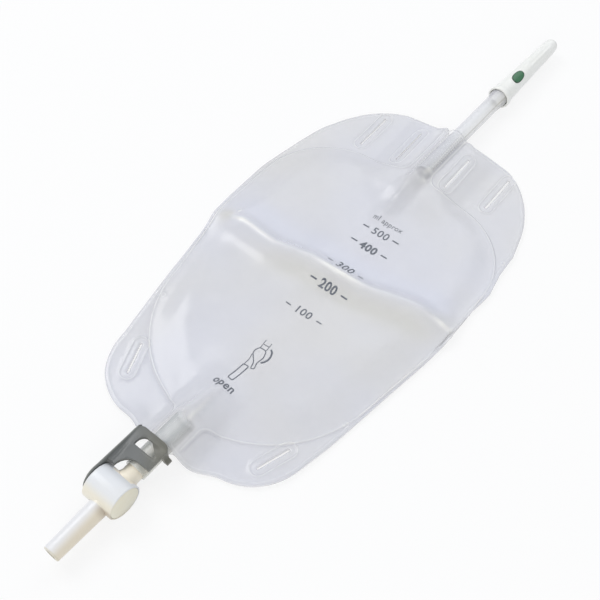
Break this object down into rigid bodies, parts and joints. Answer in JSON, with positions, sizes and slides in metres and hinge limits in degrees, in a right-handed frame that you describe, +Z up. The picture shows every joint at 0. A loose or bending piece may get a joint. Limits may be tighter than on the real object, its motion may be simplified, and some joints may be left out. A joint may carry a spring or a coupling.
{
  "type": "urine drainage bag",
  "caption": "Flat leg-worn drainage bag of clear film with strap slits, a lever tap at the bottom and a capped inlet connector at the top.",
  "frame": {"origin": "centre of the whole object's footprint, at the height of the table that the back film lies on", "axes": "+X across the bag to the right of the printed side, +Y towards the inlet connector, +Z up through the front film"},
  "size_m": [0.1398, 0.3893, 0.0166],
  "materials": {
    "clear_film": "clear soft film, slightly milky, glossy",
    "clear_tube": "clear soft tube, glossy",
    "white_plastic": "white moulded plastic, satin",
    "spindle_plastic": "ivory moulded plastic, satin",
    "cap_plastic": "white translucent moulded plastic, soft sheen",
    "marker_green": "dark green plastic, slightly uneven",
    "lever_grey": "mid grey moulded plastic, fine grain"
  },
  "bodies": {
    "bag": {"back_film": "clear_film", "front_film": "clear_film", "non_return_valve": "clear_film", "inlet_tube": "clear_tube", "inlet_connector": "white_plastic", "outlet_port": "clear_tube", "tap_body": "white_plastic"},
    "lever": {"tap_lever": "lever_grey", "tap_spindle": "spindle_plastic"},
    "cap": {"connector_cap": "cap_plastic", "cap_marker": "marker_green"}
  },
  "joints": [
    {"name": "lever_turn", "type": "hinge", "parent": "bag", "child": "lever", "pos_m": [0.00055, -0.16142, 0.0082], "axis": [0.9995, -0.0332, 0], "range_deg": [0, 120]},
    {"name": "cap_pull", "type": "slide", "parent": "bag", "child": "cap", "axis": [0.027, 0.9996, 0], "range_m": [0, 0.058]}
  ]
}
